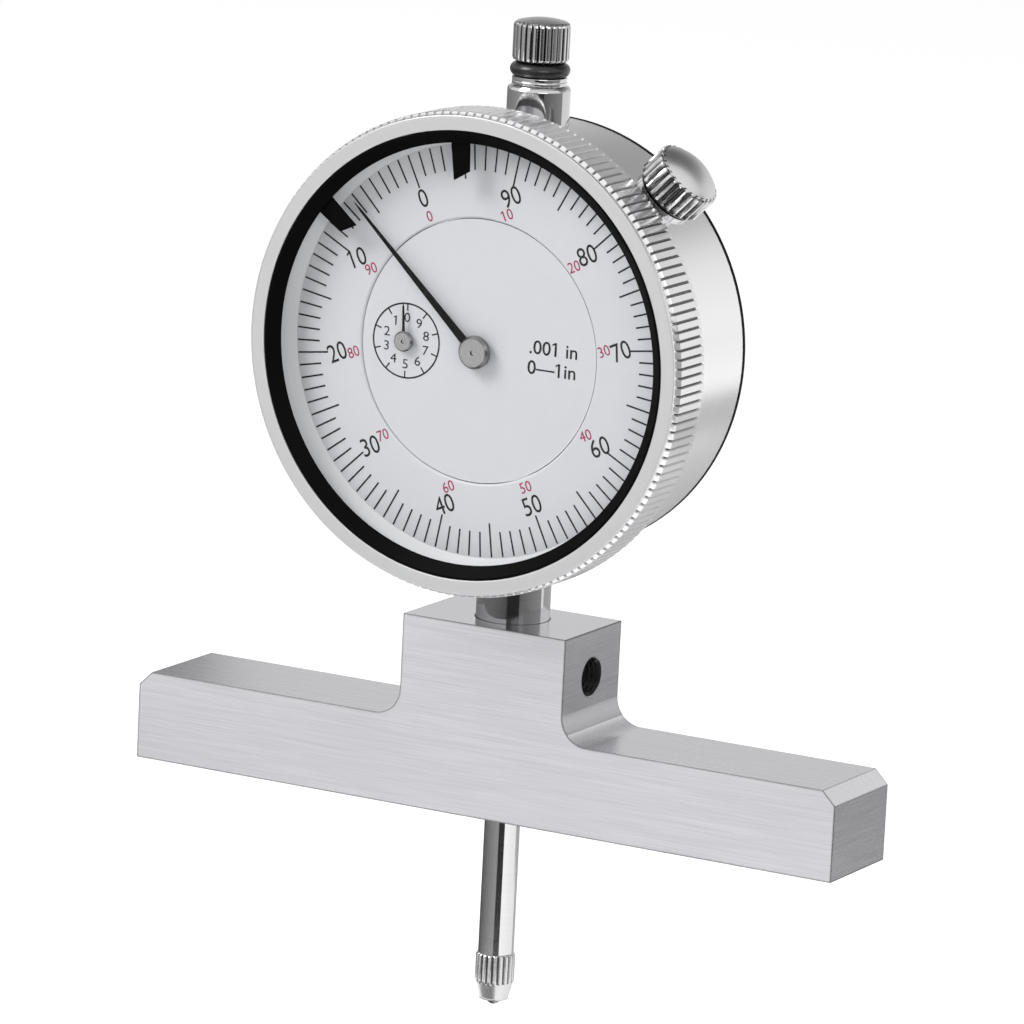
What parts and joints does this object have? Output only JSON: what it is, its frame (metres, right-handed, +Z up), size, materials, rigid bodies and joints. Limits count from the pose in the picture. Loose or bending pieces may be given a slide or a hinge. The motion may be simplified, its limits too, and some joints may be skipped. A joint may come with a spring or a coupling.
{
  "type": "dial depth gauge",
  "caption": "Dial depth gauge with a T-shaped ground base, a spring-loaded spindle, a turning bezel with tolerance hands and a small turn counter.",
  "frame": {"origin": "where the spindle's axis crosses the ground reference face under the base", "axes": "+Z up along the spindle towards the lifting knob, -Y the way the dial faces, +X to the right of someone reading the dial"},
  "size_m": [0.1016, 0.025, 0.1287],
  "materials": {
    "ground_steel": "ground steel with a fine grain along its length",
    "stem_steel": "polished steel",
    "spindle_steel": "polished hardened steel",
    "point_steel": "polished, straight knurled",
    "ball_steel": "mirror polished",
    "case_metal": "satin silver",
    "bezel_metal": "satin plated",
    "black_ring": "matte black",
    "hub_steel": "turned steel with a bevelled rim",
    "pointer_black": "satin black",
    "dial_white": "satin white with black and red print",
    "wall_white": "satin light grey",
    "clear": "clear crystal",
    "black_rubber": "matte rubber",
    "brass": "turned brass",
    "spring_steel": "drawn wire and cut steel",
    "screw_steel": "plain steel",
    "dark_screw": "blackened steel"
  },
  "bodies": {
    "gauge_body": {"base_block": "ground_steel", "stem_clamp_screw": "dark_screw", "stem": "stem_steel", "spindle_bushes": "brass", "upper_bushing": "stem_steel", "case": "case_metal", "back_gasket": "black_rubber", "back_cover": "case_metal", "back_cover_screws": "screw_steel", "rear_plate": "brass", "mid_plate": "brass", "front_plate": "brass", "rear_pillars": "brass", "front_pillars": "brass", "plate_screws": "screw_steel", "movement_mount_screws": "screw_steel", "pinion_cock": "brass", "cock_screw": "screw_steel", "guide_rail": "brass", "spring_post": "brass", "return_spring": "spring_steel", "hairspring": "spring_steel", "hairspring_stud": "brass", "centre_dial": "dial_white", "bezel_spring_ring": "spindle_steel", "clamp_boss": "point_steel", "clamp_nut": "screw_steel"},
    "spindle": {"spindle": "spindle_steel", "guide_pin": "spindle_steel", "contact_point": "point_steel", "contact_ball": "ball_steel", "stop_collar": "spindle_steel", "bump_ring": "black_rubber", "lifting_knob": "point_steel"},
    "rack_pinion": {"rack_pinion": "spring_steel", "drive_gear": "brass"},
    "centre_arbor": {"centre_pinion": "spring_steel", "pointer_hub": "hub_steel", "main_pointer": "pointer_black"},
    "counter_arbor": {"counter_arbor": "spring_steel", "take_up_gear": "brass", "hairspring_collet": "brass", "counter_hub": "hub_steel", "counter_pointer": "pointer_black"},
    "bezel": {"bezel": "bezel_metal", "glass_ring": "black_ring", "crystal": "clear", "dial_wall_ring": "wall_white", "scale_ring": "dial_white"},
    "left_tolerance_hand": {"tolerance_hand_left": "black_ring"},
    "right_tolerance_hand": {"tolerance_hand_right": "black_ring"},
    "clamp_washer": {"clamp_washer": "point_steel"},
    "clamp_screw": {"bezel_clamp_screw": "point_steel"}
  },
  "joints": [
    {"name": "spindle_slide", "type": "slide", "parent": "gauge_body", "child": "spindle", "axis": [0, 0, 1], "range_m": [0, 0.0263], "stiffness_N_per_m": 20, "springref_m": -0.05, "deforming": ["return_spring"]},
    {"name": "rack_pinion_turn", "type": "hinge", "parent": "gauge_body", "child": "rack_pinion", "pos_m": [-0.00377, 0, 0.06567], "axis": [0, 1, 0], "continuous": true},
    {"name": "main_pointer_turn", "type": "hinge", "parent": "gauge_body", "child": "centre_arbor", "pos_m": [0, 0, 0.0614], "axis": [0, 1, 0], "continuous": true},
    {"name": "counter_pointer_turn", "type": "hinge", "parent": "gauge_body", "child": "counter_arbor", "pos_m": [-0.01045, 0, 0.0614], "axis": [0, 1, 0], "continuous": true},
    {"name": "bezel_turn", "type": "hinge", "parent": "gauge_body", "child": "bezel", "pos_m": [0, 0, 0.0614], "axis": [0, 1, 0], "continuous": true},
    {"name": "left_hand_set", "type": "hinge", "parent": "bezel", "child": "left_tolerance_hand", "pos_m": [0, 0, 0.0614], "axis": [0, 1, 0], "range_deg": [-120, 12]},
    {"name": "right_hand_set", "type": "hinge", "parent": "bezel", "child": "right_tolerance_hand", "pos_m": [0, 0, 0.0614], "axis": [0, 1, 0], "range_deg": [-12, 120]},
    {"name": "clamp_washer_slide", "type": "slide", "parent": "gauge_body", "child": "clamp_washer", "axis": [-0.7071, 0, -0.7071], "range_m": [0, 0.000277]},
    {"name": "clamp_screw_turn", "type": "hinge", "parent": "clamp_washer", "child": "clamp_screw", "pos_m": [0, -0.0055, 0.0614], "axis": [-0.7071, 0, -0.7071], "range_deg": [0, 200]}
  ],
  "couplings": [
    {"joint": "rack_pinion_turn", "follows": "spindle_slide", "rad_per_m": -494.74},
    {"joint": "main_pointer_turn", "follows": "spindle_slide", "rad_per_m": 2473.7},
    {"joint": "counter_pointer_turn", "follows": "spindle_slide", "rad_per_m": -247.37},
    {"joint": "clamp_screw_turn", "follows": "clamp_washer_slide", "rad_per_m": 12566}
  ]
}
